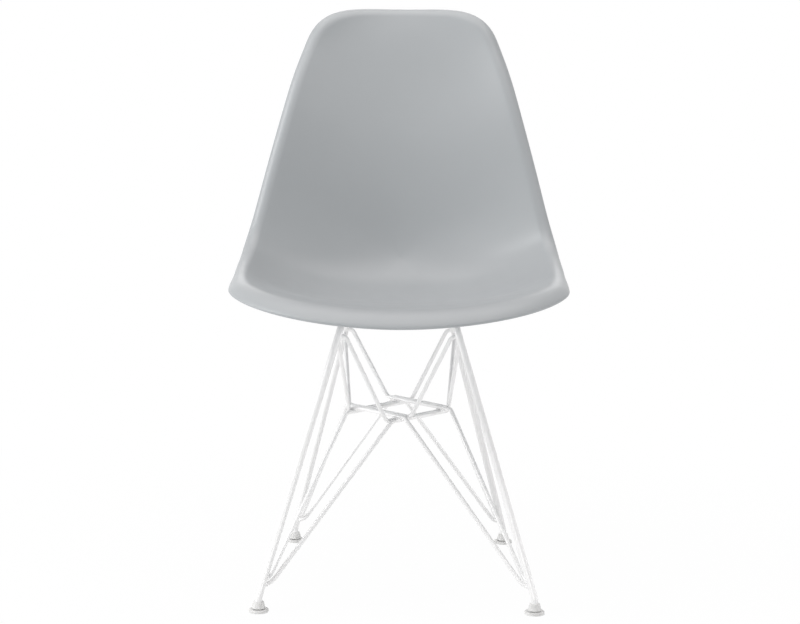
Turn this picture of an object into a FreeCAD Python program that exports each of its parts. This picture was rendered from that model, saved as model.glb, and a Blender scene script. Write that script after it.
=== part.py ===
import FreeCAD, Part
import Sketcher
import bisect
import math
import os
from FreeCAD import Placement, Rotation, Vector

# Moulded plastic shell chair on a welded wire base.
# Millimetres. +Z is up, -Y is the front, and the plane X = 0 is the plane of symmetry.
# The origin lies on the floor, below the middle of the chair's width and depth.

doc = FreeCAD.newDocument("shell_chair")
sheet = doc.addObject("Spreadsheet::Sheet", "Sizes")

SIZES = (
    # Seat shell
    ("shell_wall", 5.0, "wall of the moulded shell"),
    ("front_corner", 103.0, "length over which the front corners round off"),
    ("front_corner_power", 2.2, "squareness of the front corners"),
    ("top_corner", 56.0, "length over which the top corners round off"),
    ("top_corner_power", 3.7, "squareness of the top corners"),
    ("side_roll_radius", 17.0, "outer radius of the rolled rim at the sides and top"),
    ("front_roll_radius", 46.0, "outer radius of the rolled front lip"),
    ("side_roll_angle", 70.0, "how far the side rim rolls over, degrees"),
    ("front_roll_angle", 54.0, "how far the front lip rolls over, degrees"),
    ("boss_face", 22.0, "diameter of a moulded boss at its face"),
    ("boss_root", 27.0, "diameter of a moulded boss where it meets the seat"),
    # Wire base, thick rods
    ("rod_size", 10.0, "diameter of the leg rods and cross rods"),
    ("foot_level", 20.0, "height at which a leg turns upright into its glide"),
    ("foot_bend", 25.0, "bend radius of a leg above its glide"),
    ("foot_half_depth", 185.5, "front or rear feet to the middle of the base"),
    ("front_foot_half_width", 192.0, "front feet to the plane of symmetry"),
    ("rear_foot_half_width", 164.0, "rear feet to the plane of symmetry"),
    ("top_front_half_width", 80.5, "front top corner of a leg rod to the plane of symmetry"),
    ("top_front_depth", 89.5, "front top corner to the middle of the base"),
    ("top_front_level", 390.0, "height of the front top corner"),
    ("top_rear_half_width", 76.0, "rear top corner of a leg rod to the plane of symmetry"),
    ("top_rear_depth", 85.0, "rear top corner to the middle of the base"),
    ("top_rear_level", 376.0, "height of the rear top corner"),
    ("top_bend", 18.0, "bend radius of a leg rod at its top corners"),
    ("cross_rod_offset", 46.0, "cross rods to the middle of the seat frame"),
    # Wire base, thin braces
    ("wire_size", 6.0, "diameter of the bracing wires"),
    ("diamond_half", 63.5, "middle of the base to a corner of the diamond"),
    ("diamond_level", 248.3, "height of the lower wires of the diamond"),
    ("diamond_spacing", 7.0, "between the two wires along one side of the diamond"),
    ("weld_gap", 0.05, "between wires that are welded across each other"),
    ("front_rise_overrun", 15.0, "rising bends beyond the front and rear corners of the diamond"),
    ("side_rise_overrun", 6.5, "rising bends beyond the side corners of the diamond"),
    ("front_fall_overrun", 11.5, "falling bends beyond the front and rear corners"),
    ("side_fall_overrun", 15.0, "falling bends beyond the side corners"),
    ("diamond_bend", 10.0, "bend radius of a wire at the diamond"),
    ("front_hook_level", 373.5, "height of the upper hooks on the front legs"),
    ("rear_hook_level", 354.0, "height of the upper hooks on the rear legs"),
    ("upper_hook_reach", 11.0, "length of an upper hook from the rod's middle"),
    ("upper_hook_bend", 9.0, "bend radius of an upper hook"),
    ("foot_hook_level", 36.0, "height of the lower hooks"),
    ("foot_hook_reach", 12.5, "length of a lower hook from the rod's middle"),
    ("foot_hook_bend", 26.0, "bend radius of a lower hook"),
    ("hook_step", 7.4, "between the two hooks on one rod"),
    # Seat mounts
    ("mount_inset", 22.5, "seat screws inwards from the frame's front corners"),
    ("mount_y", 66.0, "seat screws to the middle of the seat frame"),
    ("plate_size", 38.0, "side of a mounting plate"),
    ("plate_thickness", 3.0, "thickness of a mounting plate"),
    ("plate_corner", 5.0, "corner radius of a mounting plate"),
    ("plate_shift_x", 4.0, "middle of a plate outwards from its screw"),
    ("plate_shift_y", 5.0, "middle of a plate inwards from its screw"),
    ("rubber_size", 26.0, "diameter of a rubber mount"),
    ("rubber_height", 6.0, "height of a rubber mount"),
    ("rubber_edge", 1.0, "chamfer of a rubber mount"),
    ("screw_size", 6.0, "diameter of a seat screw"),
    ("screw_play", 0.6, "clearance holes over the screw's diameter"),
    ("screw_head", 10.5, "diameter of a screw head"),
    ("screw_head_height", 3.3, "height of a screw head"),
    ("screw_head_bevel", 1.1, "bevel of a screw head"),
    ("screw_socket", 4.6, "circle round the hexagon socket"),
    ("screw_socket_depth", 2.0, "depth of the hexagon socket"),
    ("thread_grip", 8.0, "length of a screw inside its insert"),
    ("washer_size", 13.0, "diameter of a washer"),
    ("washer_thickness", 1.5, "thickness of a washer"),
    ("insert_size", 9.0, "diameter of a threaded insert"),
    ("insert_length", 10.0, "length of a threaded insert"),
    ("thread_play", 0.1, "insert bore over the screw's diameter"),
    # Glides
    ("ball_size", 7.0, "diameter of a ball stud's ball"),
    ("ball_level", 6.6, "height of the ball's centre"),
    ("stud_size", 5.0, "diameter of a ball stud's shank"),
    ("stud_grip", 7.5, "length of the shank inside the rod"),
    ("rod_end_level", 10.6, "height of the lower end of a leg rod"),
    ("pad_size", 28.0, "diameter of a glide pad"),
    ("pad_height", 3.9, "height of a glide pad's disc"),
    ("pad_edge", 1.6, "upper edge radius of a glide pad"),
    ("hub_size", 11.6, "diameter of a glide pad's socket"),
    ("hub_level", 8.4, "height of the top of the socket"),
    ("ball_play", 0.15, "socket radius over the ball's radius"),
    ("collar_foot", 19.0, "diameter of a collar at its lower edge"),
    ("collar_neck", 14.4, "diameter of a collar at its upper edge"),
    ("collar_level", 5.3, "height of a collar's lower edge, clear of a pad tilted by 6 degrees"),
    ("collar_height", 9.2, "height of a collar"),
    ("collar_edge", 1.4, "upper edge radius of a collar"),
    ("collar_wall", 2.6, "wall of a collar round the socket"),
)

for row, (alias, value, meaning) in enumerate(SIZES, start=1):
    sheet.set(f"A{row}", meaning)
    sheet.set(f"B{row}", str(value))
    sheet.setAlias(f"B{row}", alias)
doc.recompute()


def size(alias):
    """A driving size, read from the sheet."""
    return float(getattr(sheet, alias))


# Seat shell
# Each station is one cross-section: the middle of the sitting surface and its edge, seen from the
# side with Y measured from the middle of the base, half the width between the edges, and how late
# the section rises to its edges. The stations run from the front lip back along the seat and up
# the backrest.
SHELL_STATIONS = (
    # middle y, middle z, edge y, edge z, half width, dish power
    (-211, 430, -203, 447.5, 188.5, 1.95),
    (-150, 428.5, -136, 449, 200.5, 2.2),
    (-80, 420, -77, 450.5, 214, 2.55),
    (-8, 402, -10, 454, 219, 2.75),
    (57, 406.5, 48.5, 464.5, 215.5, 2.55),
    (116.5, 414, 93.5, 483.5, 212, 2.15),
    (157, 456, 111.5, 514, 203, 1.55),
    (175, 500, 128.5, 553.5, 193, 1.6),
    (181, 585, 147.5, 610, 179, 1.9),
    (195, 650, 163.5, 669, 163, 1.8),
    (219, 724, 190, 731, 146, 2.2),
    (235, 782.5, 217.5, 780, 127.5, 2.5),
    (252, 820, 230, 821.5, 110, 2.4),
)
PROFILE_STEPS = 400
RIM_STEPS = 600
RIM_COLUMNS = 72
RING_INSET = 70.0
PROBE = 0.5
RINGS = (0.995, 0.93, 0.85, 0.76, 0.67, 0.58, 0.49, 0.40, 0.31, 0.23, 0.15, 0.075, 0.0)
ROLL_STEPS = (1 / 3, 2 / 3, 1)
EDGE_ANGLES = (45, 90, 135)
LIP_START = -10.0
LIP_FULL = -205.0
LAST_STATION = len(SHELL_STATIONS) - 1


def station(place):
    """The cross-section at a place between the stations, on a uniform cubic B-spline."""
    first = min(int(place), LAST_STATION - 1)
    part = place - first
    here = SHELL_STATIONS[first]
    after = SHELL_STATIONS[first + 1]
    if first > 0:
        before = SHELL_STATIONS[first - 1]
    else:
        before = tuple(2 * a - b for a, b in zip(here, after))
    if first < LAST_STATION - 1:
        beyond = SHELL_STATIONS[first + 2]
    else:
        beyond = tuple(2 * b - a for a, b in zip(here, after))
    weights = (
        (1 - part) ** 3 / 6,
        (3 * part ** 3 - 6 * part ** 2 + 4) / 6,
        (-3 * part ** 3 + 3 * part ** 2 + 3 * part + 1) / 6,
        part ** 3 / 6,
    )
    columns = zip(before, here, after, beyond)
    return [sum(w * value for w, value in zip(weights, column)) for column in columns]


def sitting_point(place, x):
    """A point of the sitting surface at a cross-section, x from the plane of symmetry."""
    middle_y, middle_z, edge_y, edge_z, half_width, dish_power = station(place)
    rise = (abs(x) / half_width) ** dish_power
    return Vector(x, middle_y + rise * (edge_y - middle_y), middle_z + rise * (edge_z - middle_z))


def running_lengths(points):
    """The length of a polyline from its start to each of its points."""
    lengths = [0.0]
    for a, b in zip(points, points[1:]):
        lengths.append(lengths[-1] + a.distanceToPoint(b))
    return lengths


PLACES = [LAST_STATION * i / PROFILE_STEPS for i in range(PROFILE_STEPS + 1)]
PROFILE_LENGTHS = running_lengths([sitting_point(place, 0.0) for place in PLACES])
SHELL_LENGTH = PROFILE_LENGTHS[-1]


def between(value, marks, results):
    """Linear interpolation in two lists of equal length."""
    i = min(max(bisect.bisect_right(marks, value) - 1, 0), len(marks) - 2)
    part = (value - marks[i]) / (marks[i + 1] - marks[i])
    return results[i] + (results[i + 1] - results[i]) * part


def surface_point(along, x):
    """A point of the sitting surface, by its length along the middle from the lip."""
    return sitting_point(between(along, PROFILE_LENGTHS, PLACES), x)


def surface_normal(along, x):
    """The direction from the shell towards the sitter."""
    along = min(max(along, PROBE), SHELL_LENGTH - PROBE)
    lengthwise = surface_point(along + PROBE, x) - surface_point(along - PROBE, x)
    crosswise = surface_point(along, x + PROBE) - surface_point(along, x - PROBE)
    return crosswise.cross(lengthwise).normalize()


def corner_factor(distance, length, power):
    """One away from a rounded corner, falling to nothing at the end of the outline."""
    near = min(distance / length, 1.0)
    return (1 - (1 - near) ** power) ** (1 / power)


def outline_half_width(along):
    """Half the width of the shell inside its rolled rim."""
    half_width = station(between(along, PROFILE_LENGTHS, PLACES))[4]
    front = corner_factor(along, size("front_corner"), size("front_corner_power"))
    top = corner_factor(SHELL_LENGTH - along, size("top_corner"), size("top_corner_power"))
    return half_width * front * top


def shell_outline():
    """Evenly spaced points round the shell, as lengths along the middle and distances across."""
    alongs = []
    for i in range(RIM_STEPS + 1):
        alongs.append(SHELL_LENGTH * (1 - math.cos(math.pi * i / RIM_STEPS)) / 2)
    acrosses = [0.0] + [outline_half_width(along) for along in alongs[1:-1]] + [0.0]
    lengths = running_lengths([surface_point(*point) for point in zip(alongs, acrosses)])
    half = []
    for i in range(RIM_COLUMNS // 2 + 1):
        length = lengths[-1] * 2 * i / RIM_COLUMNS
        half.append((between(length, lengths, alongs), between(length, lengths, acrosses)))
    return half + [(along, -across) for along, across in half[-2:0:-1]]


OUTLINE = shell_outline()


def ring_point(column, ring):
    """A point between the rim (ring 0) and the middle of the shell (ring 1)."""
    along, across = OUTLINE[column]
    before = OUTLINE[column - 1]
    after = OUTLINE[(column + 1) % RIM_COLUMNS]
    tangent = Vector(after[0] - before[0], after[1] - before[1], 0).normalize()
    outwards = Vector(-tangent.y, tangent.x, 0)
    middle = SHELL_LENGTH / 2
    if outwards.x * (along - middle) + outwards.y * across < 0:
        outwards = -outwards
    spread = 1 - ring ** 2
    inset = RING_INSET * ring * (1 - ring)
    return middle + spread * (along - middle) - inset * outwards.x, spread * across - inset * outwards.y


def smooth_step(value, start, end):
    """Rises from 0 at start to 1 at end."""
    part = min(max((value - start) / (end - start), 0.0), 1.0)
    return part * part * (3 - 2 * part)


def shell_column(column):
    """Points from the middle of the sitting surface over the rolled rim to the underside's middle."""
    wall = size("shell_wall")
    upper = []
    lower = []
    for ring in RINGS:
        along, across = ring_point(column, ring)
        normal = surface_normal(along, across)
        upper.append(surface_point(along, across))
        lower.append(upper[-1] - normal * wall)
    rim = upper[-1]
    rim_along = surface_point(*OUTLINE[(column + 1) % RIM_COLUMNS]) - surface_point(*OUTLINE[column - 1])
    outwards = rim_along.cross(normal).normalize()
    if outwards.dot(rim - upper[-2]) < 0:
        outwards = -outwards
    lip = smooth_step(rim.y, LIP_START, LIP_FULL)
    radius = size("side_roll_radius") + lip * (size("front_roll_radius") - size("side_roll_radius"))
    full_turn = size("side_roll_angle") + lip * (size("front_roll_angle") - size("side_roll_angle"))
    roll_upper = []
    roll_lower = []
    for part in ROLL_STEPS:
        turn = math.radians(full_turn * part)
        face = normal * math.cos(turn) + outwards * math.sin(turn)
        point = rim + (face - normal) * radius
        roll_upper.append(point)
        roll_lower.append(point - face * wall)
    onwards = outwards * math.cos(turn) - normal * math.sin(turn)
    centre = (roll_upper[-1] + roll_lower[-1]) / 2
    edge = []
    for angle in EDGE_ANGLES:
        swing = math.radians(angle)
        edge.append(centre + (face * math.cos(swing) + onwards * math.sin(swing)) * (wall / 2))
    return upper + roll_upper + edge + roll_lower[::-1] + lower[::-1]


def shell_columns():
    """All columns, with their first and last points moved onto a flat round their middle."""
    middle = SHELL_LENGTH / 2
    normal = surface_normal(middle, 0.0)
    top = surface_point(middle, 0.0)
    columns = [shell_column(i) for i in range(RIM_COLUMNS)]
    for column in columns:
        column[0] -= normal * (column[0] - top).dot(normal)
        column[-1] -= normal * (column[-1] - (top - normal * size("shell_wall"))).dot(normal)
    return columns


def shell_solid():
    """The shell without its bosses, from one closed surface cut into bands."""
    columns = shell_columns()
    marks = running_lengths(columns[RIM_COLUMNS // 4])
    marks = [mark / marks[-1] for mark in marks]
    threads = []
    for column in columns:
        thread = Part.BSplineCurve()
        thread.interpolate(Points=column, Parameters=marks)
        threads.append(thread)
    rings = []
    for i in range(threads[0].NbPoles):
        ring = Part.BSplineCurve()
        ring.interpolate(
            Points=[thread.getPole(i + 1) for thread in threads],
            PeriodicFlag=True,
            Parameters=[j / RIM_COLUMNS for j in range(RIM_COLUMNS + 1)],
        )
        rings.append(ring)
    poles = []
    for j in range(rings[0].NbPoles):
        poles.append([ring.getPole(j + 1) for ring in rings])
    surface = Part.BSplineSurface()
    surface.buildFromPolesMultsKnots(
        poles,
        rings[0].getMultiplicities(), threads[0].getMultiplicities(),
        rings[0].getKnots(), threads[0].getKnots(),
        True, False, 3, 3,
    )
    last_ring = len(RINGS) - 1
    last_roll = last_ring + len(ROLL_STEPS)
    band_rows = (0, last_ring, last_roll, last_roll + len(EDGE_ANGLES) + 1)
    band_marks = [marks[i] for i in band_rows] + [marks[len(marks) - 1 - last_ring], 1.0]
    faces = []
    caps = []
    for half in (0.0, 0.5):
        for low, high in zip(band_marks, band_marks[1:]):
            band = surface.copy()
            band.segment(half, half + 0.5, low, high)
            faces.append(band.toShape())
            if low == 0.0:
                caps.append(band.vIso(low).toShape())
            if high == 1.0:
                caps.append(band.vIso(high).toShape())
    faces.append(Part.Face(Part.Wire([caps[0], caps[2]])))
    faces.append(Part.Face(Part.Wire([caps[1], caps[3]])))
    skin = Part.Shell(faces)
    skin.sewShape()
    solid = Part.Solid(skin)
    if solid.Volume < 0:
        solid.reverse()
    return solid


plain_shell = shell_solid()
shell_box = plain_shell.BoundBox
MIDDLE_Y = (shell_box.YMin + shell_box.YMax) / 2
to_origin = Placement(Vector(0, -MIDDLE_Y, 0), Rotation())


# Seat frame: the plane through the rails, tilted down to the rear as the seat is
FRAME_RUN = size("top_front_depth") + size("top_rear_depth")
FRAME_DROP = size("top_front_level") - size("top_rear_level")
FRAME_TILT = math.degrees(math.atan2(FRAME_DROP, FRAME_RUN))
FRAME_MIDDLE = Vector(
    0,
    (size("top_rear_depth") - size("top_front_depth")) / 2,
    (size("top_front_level") + size("top_rear_level")) / 2,
)
seat_frame = Placement(FRAME_MIDDLE, Rotation(Vector(1, 0, 0), -FRAME_TILT))
placed_frame = to_origin.multiply(seat_frame)
PLATE_BASE = size("rod_size") / 2
RUBBER_BASE = PLATE_BASE + size("plate_thickness")
BOSS_BASE = RUBBER_BASE + size("rubber_height")
HEAD_BASE = PLATE_BASE - size("washer_thickness") - size("screw_head_height")
CORNERS = [(side, end) for end in (-1, 1) for side in (-1, 1)]


def mount_point(side, end, level):
    """A point on a seat screw's axis, in the seat frame."""
    half_width = size("top_front_half_width") - size("mount_inset")
    return Vector(side * half_width, end * size("mount_y"), level)


def add_shape(name, shape, placement=Placement()):
    """A sub-part whose shape is worked out here."""
    feature = doc.addObject("Part::Feature", name)
    feature.Label = name
    feature.Shape = shape
    feature.Placement = placement
    return feature


def seat_shell():
    """The shell with four moulded bosses, each bored for its insert."""
    solid = plain_shell
    up = seat_frame.Rotation.multVec(Vector(0, 0, 1))
    for side, end in CORNERS:
        base = seat_frame.multVec(mount_point(side, end, BOSS_BASE))
        sight = Part.makeLine(base, base + up * SHELL_LENGTH)
        hits = [vertex.Point for vertex in plain_shell.common(sight).Vertexes]
        height = min(base.distanceToPoint(hit) for hit in hits) + size("shell_wall") / 2
        boss = Part.makeCone(size("boss_face") / 2, size("boss_root") / 2, height, base, up)
        solid = solid.fuse(boss)
    for side, end in CORNERS:
        base = seat_frame.multVec(mount_point(side, end, BOSS_BASE))
        bore = Part.makeCylinder(size("insert_size") / 2, size("insert_length"), base, up)
        solid = solid.cut(bore)
    return add_shape("seat_shell", solid, to_origin)


# Bent rods and wires
def bent_path(points, radii):
    """Straight runs through the points, joined by tangent arcs at all points but the ends."""
    edges = []
    start = points[0]
    for before, corner, after, radius in zip(points, points[1:], points[2:], radii):
        arriving = (corner - before).normalize()
        leaving = (after - corner).normalize()
        half_turn = arriving.getAngle(leaving) / 2
        reach = radius * math.tan(half_turn)
        arc_start = corner - arriving * reach
        arc_end = corner + leaving * reach
        inwards = (leaving - arriving).normalize()
        arc_middle = corner + inwards * (radius / math.cos(half_turn) - radius)
        edges.append(Part.LineSegment(start, arc_start).toShape())
        edges.append(Part.Arc(arc_start, arc_middle, arc_end).toShape())
        start = arc_end
    edges.append(Part.LineSegment(start, points[-1]).toShape())
    return Part.Wire(edges)


def bent_rod(points, radii, diameter):
    """A round bar along a bent path."""
    path = bent_path(points, radii)
    section = Part.Wire([Part.Circle(points[0], points[1] - points[0], diameter / 2).toShape()])
    return path.makePipeShell([section], True, False)


def foot_point(side, end, level):
    """A point on the upright axis of a glide."""
    half_width = size("front_foot_half_width") if end < 0 else size("rear_foot_half_width")
    return Vector(side * half_width, end * size("foot_half_depth"), level)


def top_corner(side, end):
    """The corner of a leg rod under the seat."""
    if end < 0:
        x, y, z = size("top_front_half_width"), size("top_front_depth"), size("top_front_level")
    else:
        x, y, z = size("top_rear_half_width"), size("top_rear_depth"), size("top_rear_level")
    return Vector(side * x, end * y, z)


def leg_point(side, end, level):
    """The middle of a leg rod at a height."""
    low = foot_point(side, end, size("foot_level"))
    high = top_corner(side, end)
    return low + (high - low) * ((level - low.z) / (high.z - low.z))


def leg_rod(side):
    """One rod: front leg, rail under the seat and rear leg, bored for its two ball studs."""
    points = [
        foot_point(side, -1, size("rod_end_level")),
        foot_point(side, -1, size("foot_level")),
        top_corner(side, -1),
        top_corner(side, 1),
        foot_point(side, 1, size("foot_level")),
        foot_point(side, 1, size("rod_end_level")),
    ]
    radii = [size("foot_bend"), size("top_bend"), size("top_bend"), size("foot_bend")]
    rod = bent_rod(points, radii, size("rod_size"))
    for end in (-1, 1):
        bottom = foot_point(side, end, size("rod_end_level"))
        rod = rod.cut(Part.makeCylinder(size("stud_size") / 2, size("stud_grip"), bottom))
    return rod


def diamond_point(corner, along, overrun, inwards, level):
    """A bend of a brace, past a corner of the diamond along one of its sides."""
    outwards = corner - along
    outwards.normalize()
    sideways = Vector(-outwards.y, outwards.x, 0)
    if sideways.dot(corner + along) > 0:
        sideways = -sideways
    shift = size("diamond_spacing") / 2 * (1 if inwards else -1)
    bend = corner + outwards * (overrun * math.sqrt(2)) + sideways * shift
    return Vector(bend.x, bend.y, level)


def hook(point, towards, reach):
    """The end of a brace in the middle of a rod, and the corner of its level hook."""
    direction = Vector(towards.x - point.x, towards.y - point.y, 0).normalize()
    return point, point + direction * reach


def brace(side, end, from_end):
    """A wire from the top of one leg along the diamond to the foot of the opposite leg."""
    half = size("diamond_half")
    end_corner = Vector(0, end * half, 0)
    side_corner = Vector(side * half, 0, 0)
    if from_end:
        rise_corner, fall_corner = end_corner, -side_corner
        rise_over, fall_over = size("front_rise_overrun"), size("side_fall_overrun")
    else:
        rise_corner, fall_corner = side_corner, -end_corner
        rise_over, fall_over = size("side_rise_overrun"), size("front_fall_overrun")
    upper_layer = side * end < 0
    level = size("diamond_level")
    if upper_layer:
        level += size("wire_size") + size("weld_gap")
    rise_bend = diamond_point(rise_corner, fall_corner, rise_over, from_end, level)
    fall_bend = diamond_point(fall_corner, rise_corner, fall_over, from_end, level)
    hook_level = size("front_hook_level") if end < 0 else size("rear_hook_level")
    foot_level = size("foot_hook_level")
    if from_end:
        foot_level += size("hook_step")
    else:
        hook_level -= size("hook_step")
    top_end, top_hook = hook(leg_point(side, end, hook_level), rise_bend, size("upper_hook_reach"))
    foot_end, foot_hook = hook(leg_point(-side, -end, foot_level), fall_bend, size("foot_hook_reach"))
    points = [top_end, top_hook, rise_bend, fall_bend, foot_hook, foot_end]
    bends = [size("upper_hook_bend"), size("diamond_bend"), size("diamond_bend"), size("foot_hook_bend")]
    return bent_rod(points, bends, size("wire_size"))


SIDE_NAMES = {-1: "left", 1: "right"}
END_NAMES = {-1: "front", 1: "rear"}


def corner_name(side, end):
    return f"{END_NAMES[end]}_{SIDE_NAMES[side]}"


def wire_base():
    """The leg rods and the eight braces, trimmed where they are welded to the rods."""
    parts = []
    rods = {side: leg_rod(side) for side in (-1, 1)}
    for side, rod in rods.items():
        parts.append(add_shape(f"{SIDE_NAMES[side]}_leg_rod", rod, to_origin))
    for side, end in CORNERS:
        for from_end in (True, False):
            wire = brace(side, end, from_end).cut(rods[-1]).cut(rods[1])
            longest = max(wire.Solids, key=lambda solid: solid.Volume)
            name = f"brace_{corner_name(side, end)}_{'inner' if from_end else 'outer'}"
            parts.append(add_shape(name, longest, to_origin))
    return parts


# Sub-parts with sketches
def origin_plane(body, role):
    return next(plane for plane in body.Origin.OriginFeatures if plane.Role == role)


def new_body(name, placement):
    body = doc.addObject("PartDesign::Body", name)
    body.Label = name
    body.Placement = placement
    return body


def value_of(expression):
    """The number that an expression on the sheet's sizes gives now."""
    numbers = {alias: size(alias) for alias, _, _ in SIZES}
    terms = 0.0
    for term in expression.replace("- ", "+ -").split("+ "):
        term = term.strip()
        sign = -1 if term.startswith("-") else 1
        factors = term.lstrip("-").split(" / ")
        amount = numbers[factors[0]] if factors[0] in numbers else float(factors[0])
        for factor in factors[1:]:
            amount /= float(factor)
        terms += sign * amount
    return terms


def bound(expression):
    """The expression with each size read from the sheet."""
    words = expression.split(" ")
    aliases = {alias for alias, _, _ in SIZES}
    return " ".join(f"Sizes.{word}" if word in aliases else word for word in words)


def profile(body, name, role, corners):
    """A closed sketch of straight lines, each corner bound to the sheet; "0" lies on the axis."""
    sketch = body.newObject("Sketcher::SketchObject", name)
    sketch.AttachmentSupport = [(origin_plane(body, role), "")]
    sketch.MapMode = "FlatFace"
    points = [Vector(value_of(x), value_of(y), 0) for x, y in corners]
    for a, b in zip(points, points[1:] + points[:1]):
        sketch.addGeometry(Part.LineSegment(a, b), False)
    for i in range(len(corners)):
        following = (i + 1) % len(corners)
        sketch.addConstraint(Sketcher.Constraint("Coincident", i, 2, following, 1))
    for i, (x, y) in enumerate(corners):
        for kind, axis, text in (("DistanceX", -2, x), ("DistanceY", -1, y)):
            if text == "0":
                sketch.addConstraint(Sketcher.Constraint("PointOnObject", i, 1, axis))
            else:
                index = sketch.addConstraint(Sketcher.Constraint(kind, -1, 1, i, 1, value_of(text)))
                sketch.setExpression(f"Constraints[{index}]", bound(text))
    return sketch


def revolve(body, name, corners):
    """A turned piece: a profile of radii and heights about the body's own Z axis."""
    sketch = profile(body, name, "XZ_Plane", corners)
    turned = body.newObject("PartDesign::Revolution", f"{name}_turned")
    turned.Profile = sketch
    turned.ReferenceAxis = (sketch, ["V_Axis"])
    turned.Angle = 360
    sketch.Visibility = False
    doc.recompute()
    return turned


def circle_edges(feature, radius, level):
    """The names of a turned feature's circular edges of a radius at a height."""
    names = []
    for i, edge in enumerate(feature.Shape.Edges, start=1):
        curve = edge.Curve
        if isinstance(curve, Part.Circle) and abs(curve.Radius - radius) < 1e-4:
            if abs(edge.BoundBox.ZMin - level) < 1e-3 and abs(edge.BoundBox.ZMax - level) < 1e-3:
                names.append(f"Edge{i}")
    return names


def dress_edge(body, kind, feature, edges, alias):
    """A fillet or a chamfer on named edges, its size bound to the sheet."""
    dressed = body.newObject(f"PartDesign::{kind}", f"{body.Name}_{kind.lower()}")
    dressed.Base = (feature, edges)
    dressed.setExpression("Radius" if kind == "Fillet" else "Size", f"Sizes.{alias}")
    doc.recompute()
    return dressed


def in_seat_frame(side, end, level):
    return placed_frame.multiply(Placement(mount_point(side, end, level), Rotation()))


def at_foot(side, end):
    return to_origin.multiply(Placement(foot_point(side, end, 0.0), Rotation()))


def mounting_plate(side, end):
    """A flat plate with rounded corners, welded on top of a rail and a cross rod."""
    body = new_body(f"plate_{corner_name(side, end)}", Placement())
    blank = body.newObject("PartDesign::AdditiveBox", f"{body.Name}_blank")
    blank.AttachmentSupport = [(origin_plane(body, "XY_Plane"), "")]
    blank.MapMode = "FlatFace"
    shift = Vector(
        side * size("plate_shift_x") - size("plate_size") / 2,
        -end * size("plate_shift_y") - size("plate_size") / 2,
        0,
    )
    blank.AttachmentOffset = Placement(shift, Rotation())
    blank.setExpression("Length", "Sizes.plate_size")
    blank.setExpression("Width", "Sizes.plate_size")
    blank.setExpression("Height", "Sizes.plate_thickness")
    doc.recompute()
    upright = []
    for i, edge in enumerate(blank.Shape.Edges, start=1):
        if abs(edge.BoundBox.ZLength - size("plate_thickness")) < 1e-3:
            upright.append(f"Edge{i}")
    dress_edge(body, "Fillet", blank, upright, "plate_corner")
    bore = body.newObject("PartDesign::SubtractiveCylinder", f"{body.Name}_bore")
    bore.AttachmentSupport = [(origin_plane(body, "XY_Plane"), "")]
    bore.MapMode = "FlatFace"
    bore.setExpression("Radius", "(Sizes.screw_size + Sizes.screw_play) / 2")
    bore.setExpression("Height", "Sizes.plate_thickness")
    doc.recompute()
    body.Placement = in_seat_frame(side, end, PLATE_BASE)
    return body


def rubber_mount(side, end):
    """A rubber ring between a plate and a boss of the shell."""
    body = new_body(f"rubber_{corner_name(side, end)}", Placement())
    bore = "screw_size / 2 + screw_play / 2"
    ring = revolve(body, f"{body.Name}_ring", [
        (bore, "0"),
        ("rubber_size / 2", "0"),
        ("rubber_size / 2", "rubber_height"),
        (bore, "rubber_height"),
    ])
    radius = size("rubber_size") / 2
    edges = circle_edges(ring, radius, 0.0) + circle_edges(ring, radius, size("rubber_height"))
    dress_edge(body, "Chamfer", ring, edges, "rubber_edge")
    body.Placement = in_seat_frame(side, end, RUBBER_BASE)
    return body


def washer(side, end):
    body = new_body(f"washer_{corner_name(side, end)}", Placement())
    bore = "screw_size / 2 + screw_play / 2"
    revolve(body, f"{body.Name}_ring", [
        (bore, "0"),
        ("washer_size / 2", "0"),
        ("washer_size / 2", "washer_thickness"),
        (bore, "washer_thickness"),
    ])
    body.Placement = in_seat_frame(side, end, PLATE_BASE - size("washer_thickness"))
    return body


def mount_screw(side, end):
    """A round-headed screw with a hexagon socket, head down."""
    body = new_body(f"screw_{corner_name(side, end)}", Placement())
    tip = "screw_head_height + washer_thickness + plate_thickness + rubber_height + thread_grip"
    turned = revolve(body, f"{body.Name}_blank", [
        ("0", "0"),
        ("screw_head / 2 - screw_head_bevel", "0"),
        ("screw_head / 2", "screw_head_bevel"),
        ("screw_head / 2", "screw_head_height"),
        ("screw_size / 2", "screw_head_height"),
        ("screw_size / 2", tip),
        ("0", tip),
    ])
    socket = body.newObject("PartDesign::SubtractivePrism", f"{body.Name}_socket")
    socket.AttachmentSupport = [(origin_plane(body, "XY_Plane"), "")]
    socket.MapMode = "FlatFace"
    socket.Polygon = 6
    socket.setExpression("Circumradius", "Sizes.screw_socket / 2")
    socket.setExpression("Height", "Sizes.screw_socket_depth")
    doc.recompute()
    if socket.Shape.Volume >= turned.Shape.Volume:
        raise RuntimeError("the hexagon socket cuts nothing")
    body.Placement = in_seat_frame(side, end, HEAD_BASE)
    return body


def threaded_insert(side, end):
    body = new_body(f"insert_{corner_name(side, end)}", Placement())
    bore = "screw_size / 2 + thread_play / 2"
    revolve(body, f"{body.Name}_sleeve", [
        (bore, "0"),
        ("insert_size / 2", "0"),
        ("insert_size / 2", "insert_length"),
        (bore, "insert_length"),
    ])
    body.Placement = in_seat_frame(side, end, BOSS_BASE)
    return body


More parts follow.
